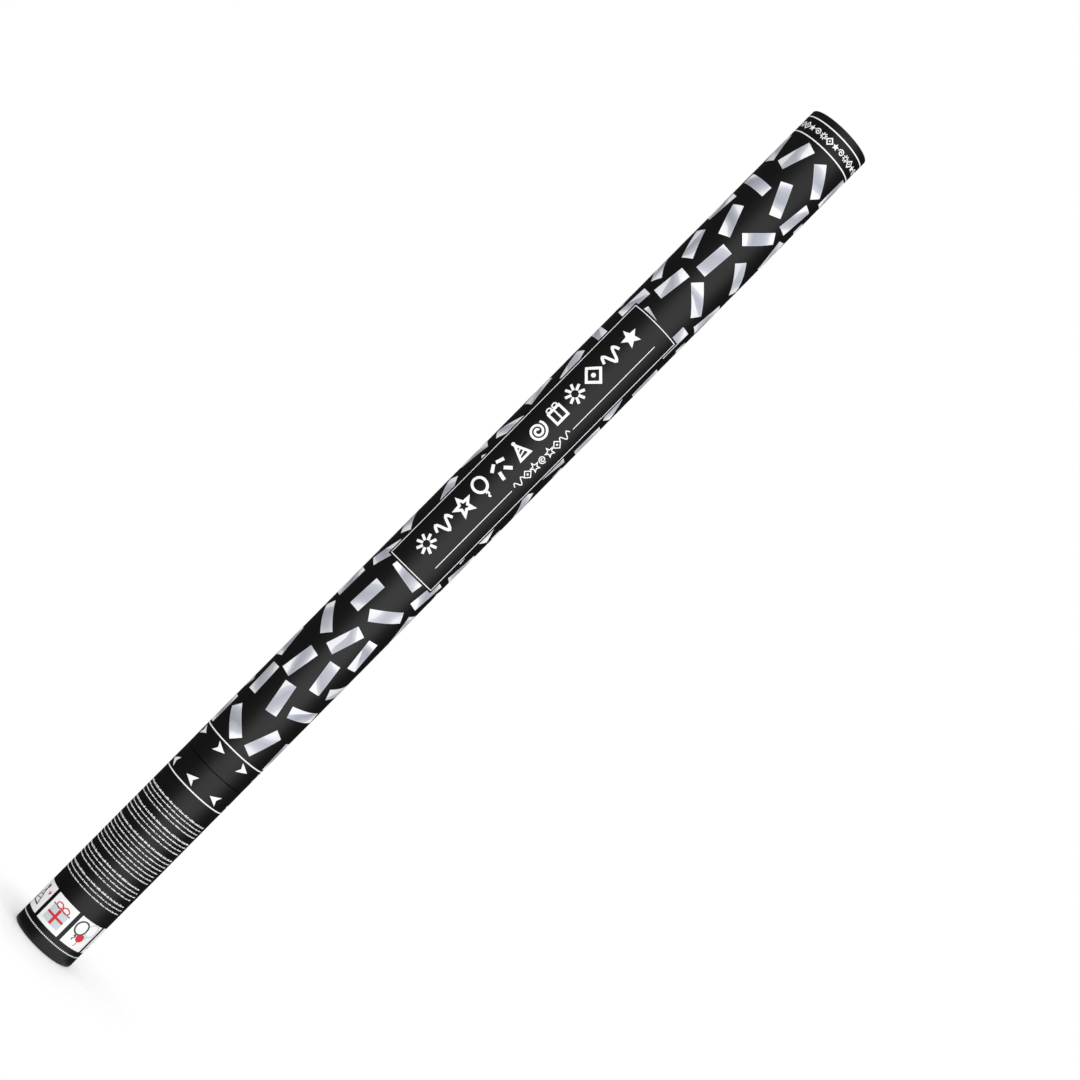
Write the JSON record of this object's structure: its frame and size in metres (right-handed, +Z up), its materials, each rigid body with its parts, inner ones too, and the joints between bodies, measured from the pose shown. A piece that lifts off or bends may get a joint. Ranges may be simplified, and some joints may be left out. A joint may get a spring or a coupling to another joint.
{
  "type": "confetti popper",
  "caption": "Tall twist-fired confetti popper: a printed paper tube whose barrel turns on its grip to open an air valve and push foil slips out.",
  "frame": {"origin": "centre of the foot ring, on the surface that the tube stands on", "axes": "+Z up the tube towards the muzzle, -Y towards the printed front, +X to the right of it"},
  "size_m": [0.0516, 0.0516, 0.8],
  "materials": {
    "printed_paper": "satin",
    "tube_board": "matte",
    "black_plastic": "satin",
    "white_plastic": "satin",
    "aluminium_can": "satin",
    "spring_steel": "satin",
    "black_rubber": "matte",
    "white_foam": "matte",
    "grey_board": "matte",
    "silver_foil": "gloss"
  },
  "bodies": {
    "grip": {"grip_tube": "tube_board", "grip_wrap": "printed_paper", "base_plug": "black_plastic", "cylinder_pad": "white_foam", "air_cylinder": "aluminium_can", "fill_bung": "black_rubber", "lower_centring_ring": "white_foam", "upper_centring_ring": "white_foam", "neck_gasket": "black_rubber", "crimp_ferrule": "aluminium_can", "stator_hub": "white_plastic", "thrust_washer": "white_plastic", "retaining_ring": "spring_steel"},
    "barrel": {"barrel_tube": "tube_board", "barrel_wrap": "printed_paper", "rotor_hub": "white_plastic", "driver_sleeve": "black_plastic"},
    "valve": {"valve_plug": "white_plastic", "plug_o_ring": "black_rubber", "cross_pin": "spring_steel"},
    "charge": {"sealing_disc": "white_foam", "pressure_wad": "grey_board", "confetti_layer_01": "silver_foil", "confetti_layer_02": "silver_foil", "confetti_layer_03": "silver_foil", "confetti_layer_04": "silver_foil", "confetti_layer_05": "silver_foil", "confetti_layer_06": "silver_foil", "confetti_layer_07": "silver_foil", "confetti_layer_08": "silver_foil", "confetti_layer_09": "silver_foil", "confetti_layer_10": "silver_foil"},
    "lid": {"muzzle_lid": "black_plastic"}
  },
  "joints": [
    {"name": "barrel_twist", "type": "hinge", "parent": "grip", "child": "barrel", "pos_m": [0, 0, 0.1711], "axis": [0, 0, 1], "range_deg": [0, 90]},
    {"name": "valve_lift", "type": "slide", "parent": "barrel", "child": "valve", "axis": [0, 0, 1], "range_m": [0, 0.006]},
    {"name": "charge_travel", "type": "slide", "parent": "barrel", "child": "charge", "axis": [0, 0, 1], "range_m": [0, 0.56]},
    {"name": "lid_travel", "type": "slide", "parent": "barrel", "child": "lid", "axis": [0, 0, 1], "range_m": [0, 0.56]}
  ],
  "couplings": [
    {"joint": "valve_lift", "follows": "barrel_twist", "m_per_rad": 0.0038197},
    {"joint": "lid_travel", "follows": "charge_travel", "ratio": 1}
  ]
}
